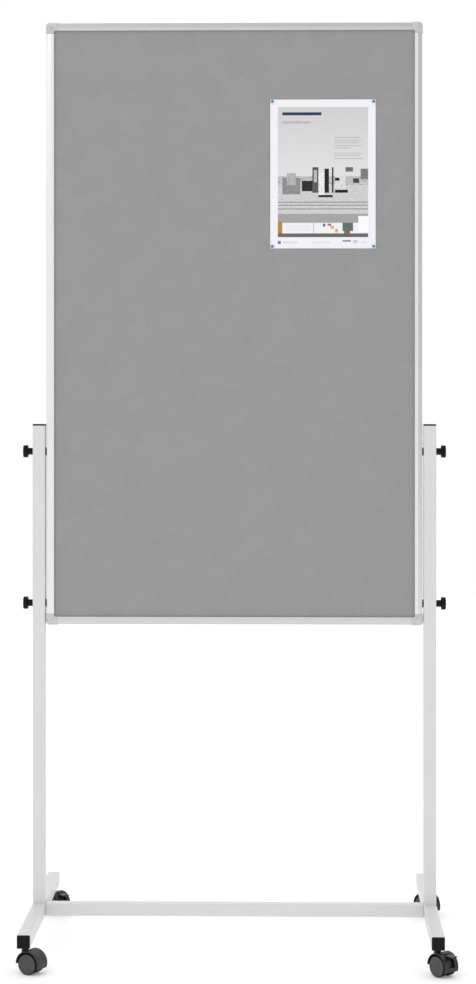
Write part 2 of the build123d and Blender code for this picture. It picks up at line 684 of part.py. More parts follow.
def make_brake_lever(name, side):
    """The brake lever: trunnions in the web, an arm, a pad over the wheels and a tab."""
    inner_radius, outer_radius = LEVER_PAD_RADII
    first, last = LEVER_PAD_ANGLES
    with BuildPart() as lever:
        with BuildSketch(side):
            with Locations(LEVER_PIVOT):
                Circle(LEVER_PIVOT_RADIUS)
            with Locations(LEVER_ARM_END):
                Circle(LEVER_ARM_END_RADIUS)
            make_hull()
        extrude(amount=LEVER_HALF_THICKNESS, both=True)
        with BuildSketch(side):
            far = 2 * GUARD_RADIUS
            Polygon((0, 0), polar(far, first), polar(far, last), align=None)
            Circle(inner_radius, mode=Mode.SUBTRACT)
            Circle(outer_radius, mode=Mode.INTERSECT)
            with Locations(LEVER_TAB_CENTRE):
                RectangleRounded(*LEVER_TAB_SIZE, LEVER_TAB_RADIUS)
            Circle(inner_radius, mode=Mode.SUBTRACT)
        extrude(amount=LEVER_PAD_HALF_WIDTH, both=True)
        with BuildSketch(side):
            with Locations(LEVER_PIVOT):
                Circle(LEVER_TRUNNION_RADIUS)
        extrude(amount=LEVER_TRUNNION_REACH, both=True)
    save(lever, f"{name}_brake_lever")


def make_casters():
    """Four swivel casters, each built around its own stem and trailing direction."""
    for name, across, end, heading, braked in CASTERS:
        foot_point = Vector(across * POST_X, end * CASTER_Y, 0)
        along = Vector(*polar(1, heading), 0)
        sideways = Vector(0, 0, 1).cross(along)
        centre = foot_point + along * CASTER_TRAIL + Vector(0, 0, WHEEL_RADIUS)
        level = Plane(origin=foot_point, x_dir=along)
        # Looking along this plane the caster trails to the right and Y is up.
        side = Plane(origin=centre, x_dir=along, z_dir=-sideways)
        make_hood(name, level, side, braked)
        make_stem_and_axle(name, level, side)
        for which, outward in (("left", sideways), ("right", -sideways)):
            make_wheel(name, which, centre, along, outward)
        if braked:
            make_brake_lever(name, side)


os.makedirs("parts", exist_ok=True)
make_posts()
make_post_caps()
make_feet()
make_foot_caps()
make_crossbar()
make_crossbar_bolts()
make_post_fixings()
make_caster_sockets()
make_clamp_spacers()
make_clamp_nuts()
make_knobs()
make_rails()
make_corner_caps()
make_set_screws()
make_panel()
make_sheet_and_pins()
make_casters()
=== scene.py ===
"""Looks for a mobile board on a tubular stand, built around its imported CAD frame.

Metres. X runs to the right, Y from the felt front to the white rear, Z up.
"""

import json
from math import cos, pi, radians, sin, tau

import bmesh
import bpy
from mathutils import Matrix, Vector, noise

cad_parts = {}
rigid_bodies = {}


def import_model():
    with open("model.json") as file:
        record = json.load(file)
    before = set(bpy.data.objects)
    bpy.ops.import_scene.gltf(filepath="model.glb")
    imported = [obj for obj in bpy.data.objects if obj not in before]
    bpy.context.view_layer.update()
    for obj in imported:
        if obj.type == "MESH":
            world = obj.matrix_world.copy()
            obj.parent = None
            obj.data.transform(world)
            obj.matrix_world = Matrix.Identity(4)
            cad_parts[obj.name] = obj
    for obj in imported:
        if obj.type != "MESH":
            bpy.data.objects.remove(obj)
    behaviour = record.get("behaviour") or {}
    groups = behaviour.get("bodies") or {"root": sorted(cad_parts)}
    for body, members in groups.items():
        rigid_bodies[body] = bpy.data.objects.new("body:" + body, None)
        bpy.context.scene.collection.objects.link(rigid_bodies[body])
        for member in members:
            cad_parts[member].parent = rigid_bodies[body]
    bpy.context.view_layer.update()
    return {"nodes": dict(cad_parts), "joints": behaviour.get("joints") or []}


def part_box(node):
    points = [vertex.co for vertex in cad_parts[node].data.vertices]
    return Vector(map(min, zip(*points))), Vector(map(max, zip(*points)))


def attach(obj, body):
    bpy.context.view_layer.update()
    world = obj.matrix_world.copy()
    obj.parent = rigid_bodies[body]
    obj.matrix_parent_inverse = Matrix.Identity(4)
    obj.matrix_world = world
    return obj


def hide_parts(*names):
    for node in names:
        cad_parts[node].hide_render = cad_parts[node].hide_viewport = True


for leftover in list(bpy.data.objects):
    bpy.data.objects.remove(leftover)
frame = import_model()

MM = 0.001
SHARP_ANGLE = radians(32)

# Camera
CAMERA_PLACE = (0.1183, -4.5573, 1.1320)
CAMERA_TURN_LEFT = radians(1.08)
SENSOR_HEIGHT = 24
LENS = 55.64
LENS_SHIFT = (-0.0127, -0.1191)

# Studio
FLOOR_SIZE = 14
FLOOR_CELLS = 8
FLOOR_GLOW = 0.12
SURROUND_LEVEL = 1.10
WINDOW_TOWARD = Vector((-0.30, -0.93, 0.20))
WINDOW_LEVEL = 1.06
FRAME_LEVEL = 0.24
WINDOW_EDGES = (0.55, 0.95)
FRAME_EDGES = (0.10, 0.45)
KEY_PLACE = Vector((-2.4, -3.0, 3.4))
KEY_AIM = Vector((0, 0, 1.1))
KEY_SIZE = 2.2
KEY_WATTS = 12

# Felt and pinned sheet
FELT_GRID = 8 * MM
FELT_UNEVEN = 0.14 * MM
FELT_BROAD_WAVES = 45
FELT_FINE_WAVES = 160
FELT_FINE_SHARE = 0.5
FELT_SINK = 1.5
FELT_BACK_ROOM = 4
SHEET_CELL = 1.5 * MM
SHEET_THICKNESS = 0.25 * MM
SHEET_BOW = 1.1 * MM
SHEET_SIDE_LIFT = 0.75
SHEET_FOOT_LIFT = 0.45
SHEET_RIPPLE = 0.06

# Shared by finishes
DEEP_BLACK = (0.005, 0.005, 0.005)
DRAWN_STRETCH = 120
PRINT_LAYER = "print"
PRINT_PAPER = (0.775, 0.775, 0.80)

# Turned parts, whose first three values are their numbers of sides
FINE_ROUND = 96
MEDIUM_ROUND = 48
SMALL_ROUND = 32
PIN_RADIUS = 3 * MM
NEEDLE_RADIUS = 0.5 * MM
NEEDLE_TIP = 1.5 * MM
KNOB_GAP = 0.3 * MM
KNOB_HUB_LENGTH = 9.7 * MM
KNOB_HUB_RADIUS = 6.9 * MM
KNOB_LOBES = 6
KNOB_NOTCH_DEPTH = 1.7 * MM
KNOB_NOTCH_SHARPNESS = 1.5
STUD_RADIUS = 4 * MM
THREAD_PITCH = 1.25 * MM
THREAD_DEPTH = 0.45 * MM
THREAD_ROOT_AT = 0.35
THREAD_CREST_AT = 0.75
CROSSBAR_BOLT_HEAD = (4.75 * MM, 2.8 * MM)
CROSSBAR_BOLT_RADIUS = 2.5 * MM
CROSSBAR_BOLT_ENGAGEMENT = 5 * MM
POST_BOLT_HEAD = (5.5 * MM, 3.3 * MM)
POST_BOLT_RADIUS = 3 * MM
WHEEL_INNER_FACE = 5.6 * MM
WHEEL_OUTER_FACE = 16.7 * MM
WHEEL_BORE_RADIUS = 2.55 * MM
WHEEL_BORE_END = 2.7 * MM
WHEEL_HUB_RADIUS = 5 * MM
WHEEL_CUP_RADIUS = 16.8 * MM
TREAD_RADIUS = 20 * MM


# Materials


class Finish:
    """A procedural material: a Principled surface, and calls that add texture to it."""

    def __init__(self, name, colour, roughness, **sockets):
        self.material = bpy.data.materials.new(name)
        self.material.use_nodes = True
        self.nodes = self.material.node_tree.nodes
        self.links = self.material.node_tree.links
        self.surface = self.nodes["Principled BSDF"]
        self.surface.inputs["Base Color"].default_value = (*colour, 1)
        self.surface.inputs["Roughness"].default_value = roughness
        for socket, value in sockets.items():
            self.surface.inputs[socket.replace("_", " ")].default_value = value

    def grain(self, size, stretch=(1, 1, 1), detail=3, distortion=0):
        """Return noise whose features are about size metres, longer where stretch is over 1."""
        place = self.nodes.new("ShaderNodeTexCoord")
        mapping = self.nodes.new("ShaderNodeMapping")
        mapping.inputs["Scale"].default_value = [1 / factor for factor in stretch]
        texture = self.nodes.new("ShaderNodeTexNoise")
        texture.inputs["Scale"].default_value = 1 / size
        texture.inputs["Detail"].default_value = detail
        texture.inputs["Distortion"].default_value = distortion
        self.links.new(place.outputs["Object"], mapping.inputs["Vector"])
        self.links.new(mapping.outputs["Vector"], texture.inputs["Vector"])
        return texture.outputs["Fac"]

    def band(self, value, low, high, least=0.0, most=1.0):
        """Return the value stretched so that low gives least and high gives most."""
        limits = self.nodes.new("ShaderNodeMapRange")
        limits.inputs["From Min"].default_value = low
        limits.inputs["From Max"].default_value = high
        limits.inputs["To Min"].default_value = least
        limits.inputs["To Max"].default_value = most
        self.links.new(value, limits.inputs["Value"])
        return limits.outputs["Result"]

    def tint(self, mask, colour):
        """Lay a colour over what the surface shows so far, where the mask is high."""
        target = self.surface.inputs["Base Color"]
        mix = self.nodes.new("ShaderNodeMix")
        mix.data_type = "RGBA"
        below, above = [s for s in mix.inputs if s.type == "RGBA"]
        result = next(s for s in mix.outputs if s.type == "RGBA")
        if target.is_linked:
            self.links.new(target.links[0].from_socket, below)
        else:
            below.default_value = target.default_value
        above.default_value = (*colour, 1)
        self.links.new(mask, mix.inputs["Factor"])
        self.links.new(result, target)

    def rough(self, value, least, most):
        """Let the roughness follow a noise value."""
        self.links.new(self.band(value, 0.35, 0.65, least, most), self.surface.inputs["Roughness"])

    def emboss(self, height, depth):
        """Raise the surface by up to depth metres where the height is high."""
        bump = self.nodes.new("ShaderNodeBump")
        bump.inputs["Distance"].default_value = depth
        target = self.surface.inputs["Normal"]
        if target.is_linked:
            self.links.new(target.links[0].from_socket, bump.inputs["Normal"])
        self.links.new(height, bump.inputs["Height"])
        self.links.new(bump.outputs["Normal"], target)


def powder_coat():
    """Silver-white powder coat with fine orange peel and faint handling marks."""
    coat = Finish("powder_coat", (0.63, 0.63, 0.635), 0.42, Metallic=0.15, Coat_Weight=0.12)
    cloud = coat.grain(90 * MM, detail=2)
    coat.tint(coat.band(cloud, 0.3, 0.7, 0, 0.6), (0.60, 0.60, 0.605))
    fleck = coat.grain(0.5 * MM, detail=1)
    coat.tint(coat.band(fleck, 0.6, 0.75, 0, 0.3), (0.85, 0.85, 0.86))
    scuff = coat.grain(6 * MM, stretch=(1, 1, 7), detail=5, distortion=1.2)
    coat.tint(coat.band(scuff, 0.66, 0.74, 0, 0.25), (0.5, 0.5, 0.5))
    coat.rough(scuff, 0.38, 0.5)
    coat.emboss(coat.grain(1.3 * MM, detail=2), 0.04 * MM)
    return coat.material


def anodised(name, along, grey):
    """Satin anodised aluminium, with drawing lines that run along the extrusion."""
    metal = Finish(name, (grey, grey, grey + 0.01), 0.32, Metallic=0.9)
    stretch = tuple(DRAWN_STRETCH if axis == along else 1 for axis in "XYZ")
    lines = metal.grain(0.9 * MM, stretch, detail=4)
    metal.tint(metal.band(lines, 0.35, 0.65, 0, 0.5), (0.9 * grey, 0.9 * grey, 0.9 * grey + 0.01))
    blotch = metal.grain(70 * MM, detail=3)
    metal.tint(metal.band(blotch, 0.4, 0.7, 0, 0.35), (0.94 * grey, 0.94 * grey, 0.94 * grey + 0.01))
    metal.rough(lines, 0.27, 0.38)
    metal.emboss(lines, 0.015 * MM)
    return metal.material


def zinc():
    """Zinc-plated steel with a soft crystalline mottle."""
    metal = Finish("zinc_plate", (0.55, 0.56, 0.57), 0.32, Metallic=1)
    mottle = metal.grain(3 * MM, detail=4)
    metal.tint(metal.band(mottle, 0.4, 0.6, 0, 0.5), (0.45, 0.45, 0.44))
    metal.rough(mottle, 0.26, 0.42)
    metal.emboss(metal.grain(0.6 * MM), 0.02 * MM)
    return metal.material


def moulded(name, colour, roughness, texture_size=0.7 * MM, specular=0.5):
    """Moulded plastic with a spark-eroded grain and paler rubbed spots."""
    plastic = Finish(name, colour, roughness, Specular_IOR_Level=specular)
    cloud = plastic.grain(14 * MM, detail=3)
    darker = tuple(0.8 * channel for channel in colour)
    plastic.tint(plastic.band(cloud, 0.35, 0.7), darker)
    rubbed = plastic.grain(4 * MM, detail=6, distortion=0.8)
    paler = tuple(1.2 * channel + 0.008 for channel in colour)
    plastic.tint(plastic.band(rubbed, 0.62, 0.75, 0, 0.5), paler)
    plastic.rough(rubbed, roughness - 0.06, roughness + 0.1)
    plastic.emboss(plastic.grain(texture_size, detail=2), 0.05 * MM)
    return plastic.material


def needle_felt():
    """Grey needle felt: matted fibres, lighter and darker hairs, soft sheen."""
    felt = Finish(
        "needle_felt", (0.281, 0.281, 0.283), 0.95, Sheen_Weight=0.18, Sheen_Roughness=0.5
    )
    cloud = felt.grain(60 * MM, detail=3)
    felt.tint(felt.band(cloud, 0.35, 0.65, 0, 0.7), (0.261, 0.261, 0.264))
    for shade, stretch in ((0.42, (5, 1, 1)), (0.16, (1, 1, 5))):
        hairs = felt.grain(0.9 * MM, stretch, detail=5, distortion=2.5)
        felt.tint(felt.band(hairs, 0.56, 0.7, 0, 0.55), (shade, shade, shade))
        felt.emboss(hairs, 0.25 * MM)
    felt.emboss(felt.grain(2.5 * MM, detail=4), 0.3 * MM)
    return felt.material


def enamel():
    """White enamelled steel with a faint haze of wiped marker."""
    white = Finish("white_enamel", (0.80, 0.81, 0.81), 0.13, Coat_Weight=0.6, Coat_Roughness=0.05)
    haze = white.grain(160 * MM, stretch=(3, 1, 1), detail=6, distortion=0.6)
    white.tint(white.band(haze, 0.5, 0.75, 0, 0.5), (0.73, 0.75, 0.77))
    wipes = white.grain(9 * MM, stretch=(12, 1, 1), detail=5, distortion=0.4)
    white.rough(wipes, 0.09, 0.2)
    white.emboss(white.grain(40 * MM, detail=1), 0.05 * MM)
    return white.material


def core_board():
    """Light fibre board with short flecks."""
    board = Finish("fibre_board", (0.52, 0.42, 0.29), 0.85)
    flecks = board.grain(2 * MM, stretch=(3, 1, 1), detail=5)
    board.tint(board.band(flecks, 0.55, 0.7), (0.33, 0.25, 0.16))
    board.emboss(flecks, 0.1 * MM)
    return board.material


def printed_paper():
    """Coated paper whose colour comes from the print painted on its cells."""
    paper = Finish("printed_paper", PRINT_PAPER, 0.5, Specular_IOR_Level=0.15)
    print_layer = paper.nodes.new("ShaderNodeVertexColor")
    print_layer.layer_name = PRINT_LAYER
    paper.links.new(print_layer.outputs["Color"], paper.surface.inputs["Base Color"])
    fibres = paper.grain(0.8 * MM, detail=4)
    paper.tint(paper.band(fibres, 0.6, 0.8, 0, 0.08), (0.6, 0.6, 0.6))
    paper.rough(fibres, 0.45, 0.6)
    paper.emboss(fibres, 0.02 * MM)
    return paper.material


def pale_floor():
    """Matt white studio floor."""
    floor = Finish(
        "pale_floor", (0.93, 0.93, 0.93), 0.8, Emission_Color=(1, 1, 1, 1), Emission_Strength=FLOOR_GLOW
    )
    floor.tint(floor.band(floor.grain(0.6, detail=3), 0.4, 0.7, 0, 0.5), (0.91, 0.91, 0.91))
    return floor.material


FINISHES = {
    "painted_steel": powder_coat(),
    "steel": zinc(),
    "aluminium": anodised("anodised_upright", "Z", 0.80),
    "grey_plastic": moulded("grey_corner_plastic", (0.52, 0.52, 0.525), 0.48),
    "black_plastic": moulded("black_plastic", DEEP_BLACK, 0.42, specular=0.14),
    "caster_black": moulded("caster_nylon", (0.011, 0.011, 0.011), 0.42, specular=0.42),
    "wheel_grey": moulded("wheel_disc", (0.045, 0.046, 0.048), 0.45),
    "felt": needle_felt(),
    "core_board": core_board(),
    "white_enamel": enamel(),
    "paper": printed_paper(),
    "blue_plastic": moulded("teal_plastic", (0.01, 0.26, 0.56), 0.25, 2 * MM),
}
TREAD = moulded("wheel_tread", DEEP_BLACK, 0.6, 1.2 * MM, specular=0.12)
# Painted shade: the top and bottom rails get a darker copy of the uprights' anodised aluminium, standing
# in for the darker reflections along the level rails.
SHADED_LEVEL_RAIL = anodised("anodised_level_painted_shade", "X", 0.61)


def dress_cad_nodes():
    """Give every CAD node the finish of its material slot."""
    for node in frame["nodes"].values():
        slot = node.data.materials[0].name
        node.data.materials[0] = FINISHES[slot]
    # The top and bottom rails take the darker copy of the aluminium: painted shade for their darker
    # reflections.
    for name in ("top_rail", "bottom_rail"):
        frame["nodes"][name].data.materials[0] = SHADED_LEVEL_RAIL


# Mesh building


def new_piece(name, shape, finishes, body, slot, *stands_for):
    """Turn a bmesh into a piece that rides on a body and stands for CAD nodes."""
    bmesh.ops.recalc_face_normals(shape, faces=shape.faces)
    mesh = bpy.data.meshes.new(name)
    shape.to_mesh(mesh)
    shape.free()
    mesh.shade_smooth()
    mesh.set_sharp_from_angle(angle=SHARP_ANGLE)
    for finish in finishes:
        mesh.materials.append(finish)
    piece = bpy.data.objects.new(name, mesh)
    bpy.context.scene.collection.objects.link(piece)
    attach(piece, body)
    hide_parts(*stands_for)
    return piece


def facing(origin, direction):
    """Return the transform that moves local Z to a direction at an origin."""
    return Matrix.Translation(origin) @ direction.to_track_quat("Z", "Y").to_matrix().to_4x4()


def add_turned(shape, place, rings, segments):
    """Add a closed turned form. A ring is its height, its radius and the finish of the band
    that follows; the radius is a number, or a function of the angle."""
    loops = []
    for height, radius, _ in rings:
        if radius == 0:
            loops.append([shape.verts.new(place @ Vector((0, 0, height)))])
            continue
        loop = []
        for step in range(segments):
            angle = tau * step / segments
            reach = radius(angle) if callable(radius) else radius
            loop.append(shape.verts.new(place @ Vector((reach * cos(angle), reach * sin(angle), height))))
        loops.append(loop)
    for lower, upper, ring in zip(loops, loops[1:], rings):
        for step in range(segments):
            after = (step + 1) % segments
            corners = (
                lower[step % len(lower)],
                lower[after % len(lower)],
                upper[after % len(upper)],
                upper[step % len(upper)],
            )
            shape.faces.new(dict.fromkeys(corners)).material_index = ring[2]


def add_slab(shape, across, up, origin, counts, thickness, lift):
    """Add a thin closed slab as two grids. Lift gives how far each point stands forward."""
    columns, rows = counts
    forward = across.cross(up).normalized()
    layers = []
    for depth in (0, thickness):
        grid = []
        for row in range(rows + 1):
            v = row / rows
            line = []
            for column in range(columns + 1):
                u = column / columns
                point = origin + across * u + up * v + forward * (lift(u, v) - depth)
                line.append(shape.verts.new(point))
            grid.append(line)
        layers.append(grid)
    for grid in layers:
        for row in range(rows):
            for column in range(columns):
                shape.faces.new(
                    (
                        grid[row][column],
                        grid[row][column + 1],
                        grid[row + 1][column + 1],
                        grid[row + 1][column],
                    )
                )
    rims = []
    for grid in layers:
        bottom = grid[0][:-1]
        right = [line[-1] for line in grid[:-1]]
        top = grid[-1][:0:-1]
        left = [line[0] for line in grid[:0:-1]]
        rims.append(bottom + right + top + left)
    for step in range(len(rims[0])):
        after = (step + 1) % len(rims[0])
        shape.faces.new((rims[0][step], rims[0][after], rims[1][after], rims[1][step]))


# Board


def make_felt():
    """The felt cover: slightly uneven, stretched over the core and tucked into the rails.

    It sinks by up to twice FELT_SINK, and is thinner by FELT_BACK_ROOM, in steps of FELT_UNEVEN,
    so that it stays between the front and the back of the CAD sheet.
    """
    low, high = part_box("felt_face")
    size = high - low

    def uneven(u, v):
        place = Vector((u * size.x, 0, v * size.z))
        broad = noise.noise(place * FELT_BROAD_WAVES)
        fine = noise.noise(place * FELT_FINE_WAVES)
        return FELT_UNEVEN * (broad + FELT_FINE_SHARE * fine - FELT_SINK)

    shape = bmesh.new()
    add_slab(
        shape,
        Vector((size.x, 0, 0)),
        Vector((0, 0, size.z)),
        low.copy(),
        (round(size.x / FELT_GRID), round(size.z / FELT_GRID)),
        size.y - FELT_BACK_ROOM * FELT_UNEVEN,
        uneven,
    )
    felt = new_piece("felt_cover", shape, [FINISHES["felt"]], "board", "felt", "felt_face")


# The print, in millimetres from the sheet's upper left corner: left, right, top, bottom, shade.
# A paragraph is its top and the widths of its lines; a step is the top of its dark edge.
PRINT_PICTURE = (15, 195, 15, 246)
PRINT_HORIZON = 171
PRINT_BLOCKS = (
    (24, 102, 25, 31, (0.03, 0.035, 0.09)),
    (24, 81, 43, 48, (0.42, 0.42, 0.43)),
    (24, 60, 156, 189, (0.24, 0.24, 0.24)),
    (33, 51, 147, 171, (0.38, 0.38, 0.38)),
    (63, 84, 162, 183, (0.02, 0.02, 0.02)),
    (84, 96, 135, 186, (0.09, 0.09, 0.09)),
    (87, 93, 141, 165, (0.45, 0.45, 0.45)),
    (96, 108, 144, 192, (0.72, 0.72, 0.72)),
    (108, 117, 138, 186, (0.015, 0.015, 0.015)),
    (123, 126, 135, 186, (0.005, 0.005, 0.005)),
    (129, 150, 153, 180, (0.62, 0.62, 0.63)),
    (129, 138, 156, 162, (0.01, 0.01, 0.01)),
    (129, 154, 180, 186, (0.01, 0.01, 0.01)),
    (150, 165, 135, 144, (0.14, 0.14, 0.14)),
    (165, 177, 157, 166, (0.05, 0.05, 0.05)),
    (180, 195, 138, 159, (0.18, 0.18, 0.18)),
    (96, 124, 190, 195, (0.02, 0.02, 0.02)),
)
PRINT_PARAGRAPHS = ((75, (51, 54, 48, 54, 33)), (106, (54, 51, 57)))
PRINT_PARAGRAPH_LEFT = 127
PRINT_LINE_PITCH = 5.4
PRINT_LINE_HEIGHT = 1.6
PRINT_TREES = 18
PRINT_STEPS = (204, 210, 217, 228)
PRINT_TEXT_SHADE = (0.40, 0.40, 0.41)
PRINT_STEP_SHADE = (0.16, 0.15, 0.14)
PRINT_FRONT_NORMAL = -0.5
PRINT_STRIP = (
    (15, 24, 243, 270, (0.40, 0.22, 0.05)),
    (30, 78, 252, 254, (0.66, 0.66, 0.67)),
    (30, 81, 258, 260, (0.66, 0.66, 0.67)),
    (86, 87, 246, 267, (0.45, 0.45, 0.46)),
    (105, 109, 247, 253, (0.02, 0.12, 0.38)),
    (114, 121, 247, 252, (0.62, 0.10, 0.03)),
    (120, 128, 252, 258, (0.55, 0.40, 0.25)),
    (129, 135, 258, 265, (0.60, 0.42, 0.08)),
    (144, 165, 246, 262, (0.11, 0.14, 0.12)),
    (147, 153, 262, 267, (0.03, 0.22, 0.10)),
    (153, 159, 262, 267, (0.50, 0.05, 0.03)),
    (15, 195, 267, 274, (0.13, 0.12, 0.12)),
    (176, 195, 232, 264, (0.83, 0.84, 0.87)),
    (15, 21, 282, 288, (0.08, 0.16, 0.42)),
    (25, 54, 284, 286, (0.62, 0.62, 0.63)),
    (84, 120, 284, 286, (0.68, 0.68, 0.69)),
    (144, 160, 281, 284, (0.20, 0.20, 0.22)),
    (165, 174, 281, 287, (0.45, 0.55, 0.66)),
    (180, 192, 283, 286, (0.66, 0.67, 0.70)),
)


def inside(x, y, left, right, top, bottom):
    """Tell whether a point lies in a rectangle."""
    return left <= x < right and top <= y < bottom


def print_colour(x, y):
    """Return the print's colour at a point: a plain skyline over steps, with blank text bars."""
    for *edges, shade in reversed(PRINT_STRIP):
        if inside(x, y, *edges):
            return shade
    if not inside(x, y, *PRINT_PICTURE):
        return PRINT_PAPER
    ripple = 0.5 + 0.5 * noise.noise(Vector((x * 0.2, y * 0.35, 0)))
    for *edges, shade in reversed(PRINT_BLOCKS):
        if inside(x, y, *edges):
            return tuple(channel * (0.7 + 0.6 * ripple) for channel in shade)
    left = PRINT_PARAGRAPH_LEFT
    for top, widths in PRINT_PARAGRAPHS:
        for line, width in enumerate(widths):
            start = top + line * PRINT_LINE_PITCH
            if inside(x, y, left, left + width, start, start + PRINT_LINE_HEIGHT):
                return PRINT_TEXT_SHADE
    if y > PRINT_STEPS[-1]:
        return (0.30 + 0.06 * ripple,) * 3
    if any(step <= y < step + PRINT_LINE_HEIGHT for step in PRINT_STEPS):
        return PRINT_STEP_SHADE
    if y > PRINT_HORIZON:
        return (0.44 + 0.2 * ripple,) * 3
    if y > PRINT_HORIZON - PRINT_TREES:
        return (0.24 + 0.42 * ripple,) * 3
    return (0.54 + 0.13 * y / PRINT_HORIZON,) * 3


def paint_print(mesh, low, high):
    """Paint the print on the sheet's front cells, and plain paper on the rest."""
    layer = mesh.color_attributes.new(PRINT_LAYER, "FLOAT_COLOR", "CORNER")
    for face in mesh.polygons:
        centre = face.center
        colour = PRINT_PAPER
        if face.normal.y < PRINT_FRONT_NORMAL:
            colour = print_colour((centre.x - low.x) / MM, (high.z - centre.z) / MM)
        for corner in face.loop_indices:
            layer.data[corner].color = (*colour, 1)


def make_sheet():
    """The pinned sheet: flat at its pins, and bowed a little off the felt between them."""
    low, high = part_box("pinned_sheet")
    size = high - low

    def bow(u, v):
        from_side = abs(2 * u - 1)
        sides = SHEET_SIDE_LIFT * sin(pi * v) * from_side**3
        foot = SHEET_FOOT_LIFT * sin(pi * u) * (1 - v) ** 6
        ripple = SHEET_RIPPLE * (1 + sin(7 * u + 5 * v))
        return SHEET_BOW * (sides + foot + ripple * sin(pi * u) * sin(pi * v))

    shape = bmesh.new()
    add_slab(
        shape,
        Vector((size.x, 0, 0)),
        Vector((0, 0, size.z)),
        low.copy(),
        (round(size.x / SHEET_CELL), round(size.z / SHEET_CELL)),
        SHEET_THICKNESS,
        bow,
    )
    sheet = new_piece("poster", shape, [FINISHES["paper"]], "board", "paper", "pinned_sheet")
    paint_print(sheet.data, low, high)


def make_pins():
    """Four turned push pins: a flange, a waist and a rounded head over a steel needle."""
    low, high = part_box("push_pins")
    sheet_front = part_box("pinned_sheet")[0].y
    head = sheet_front - low.y
    needle = high.y - sheet_front
    rings = (
        (-needle, 0, 1),
        (-needle + NEEDLE_TIP, NEEDLE_RADIUS, 1),
        (0, NEEDLE_RADIUS, 0),
        (0, 2.3 * MM, 0),
        (0.25 * MM, 2.5 * MM, 0),
        (0.7 * MM, 2.4 * MM, 0),
        (1.1 * MM, 1.7 * MM, 0),
        (1.9 * MM, 1.5 * MM, 0),
        (head - 1.4 * MM, 2.1 * MM, 0),
        (head - 1.1 * MM, 2.8 * MM, 0),
        (head - 0.7 * MM, PIN_RADIUS, 0),
        (head - 0.3 * MM, 2.85 * MM, 0),
        (head - 0.1 * MM, 2.3 * MM, 0),
        (head, 0, 0),
    )
    shape = bmesh.new()
    for x in (low.x + PIN_RADIUS, high.x - PIN_RADIUS):
        for z in (low.z + PIN_RADIUS, high.z - PIN_RADIUS):
            add_turned(shape, facing(Vector((x, sheet_front, z)), Vector((0, -1, 0))), rings, SMALL_ROUND)
    finishes = [FINISHES["blue_plastic"], FINISHES["steel"]]
    new_piece("push_pin_set", shape, finishes, "board", "blue_plastic", "push_pins")


# Stand


def hexagon(across_flats):
    """Return a hexagon's radius as a function of the angle."""
    return lambda angle: across_flats / 2 / cos((angle + pi / 6) % (pi / 3) - pi / 6)


def bolt_rings(head, shank_radius, shank_length):
    """Return the rings of a button-head bolt with a hexagon socket."""
    radius, height = head
    socket = hexagon(0.75 * radius)
    return (
        (-shank_length, 0, 0),
        (-shank_length, 0.85 * shank_radius, 0),
        (-shank_length + 0.6 * MM, shank_radius, 0),
        (0, shank_radius, 0),
        (0, 0.97 * radius, 0),
        (0.15 * height, radius, 0),
        (0.45 * height, 0.97 * radius, 0),
        (0.8 * height, 0.82 * radius, 0),
        (height, 0.58 * radius, 0),
        (height, socket, 0),
        (0.35 * height, socket, 0),
        (0.25 * height, 0, 0),
    )


def make_crossbar_bolts():
    """Button-head bolts on the feet's outer faces, into the crossbar."""
    low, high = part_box("crossbar_bolts")
    radius, height = CROSSBAR_BOLT_HEAD
    centre_z = (low.z + high.z) / 2
    inner_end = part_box("crossbar")[1].x
    shank = high.x - height - inner_end + CROSSBAR_BOLT_ENGAGEMENT
    rings = bolt_rings(CROSSBAR_BOLT_HEAD, CROSSBAR_BOLT_RADIUS, shank)
    shape = bmesh.new()
    for side in (-1, 1):
        for y in (low.y + radius, high.y - radius):
            seat = Vector((side * (high.x - height), y, centre_z))
            add_turned(shape, facing(seat, Vector((side, 0, 0))), rings, MEDIUM_ROUND)
    new_piece("crossbar_bolt_set", shape, [FINISHES["steel"]], "stand", "steel", "crossbar_bolts")


def make_post_bolts():
    """Bolts that come up through the feet into the posts."""
    low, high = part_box("post_bolts")
    radius, height = POST_BOLT_HEAD
    shank = high.z - low.z - height
    rings = bolt_rings(POST_BOLT_HEAD, POST_BOLT_RADIUS, shank)
    shape = bmesh.new()
    for x in (low.x + radius, high.x - radius):
        place = facing(Vector((x, 0, low.z + height)), Vector((0, 0, -1)))
        add_turned(shape, place, rings, MEDIUM_ROUND)
    new_piece("post_bolt_set", shape, [FINISHES["steel"]], "stand", "steel", "post_bolts")


def lobed(radius):
    """Return the outline of a knob's grip as a function of the angle."""

    def outline(angle):
        notch = max(0.0, cos(KNOB_LOBES * angle)) ** KNOB_NOTCH_SHARPNESS
        return radius - KNOB_NOTCH_DEPTH * notch

    return outline


def stud_rings(length):
    """Return the rings of a threaded stud from its free end up to the knob's hub."""
    rings = [(-length, 0, 1), (-length, STUD_RADIUS - THREAD_DEPTH, 1)]
    turns = int(length / THREAD_PITCH) - 1
    for turn in range(turns):
        start = -length + turn * THREAD_PITCH
        rings.append((start + THREAD_ROOT_AT * THREAD_PITCH, STUD_RADIUS - THREAD_DEPTH, 1))
        rings.append((start + THREAD_CREST_AT * THREAD_PITCH, STUD_RADIUS, 1))
    rings.append((0, STUD_RADIUS, 0))
    return rings


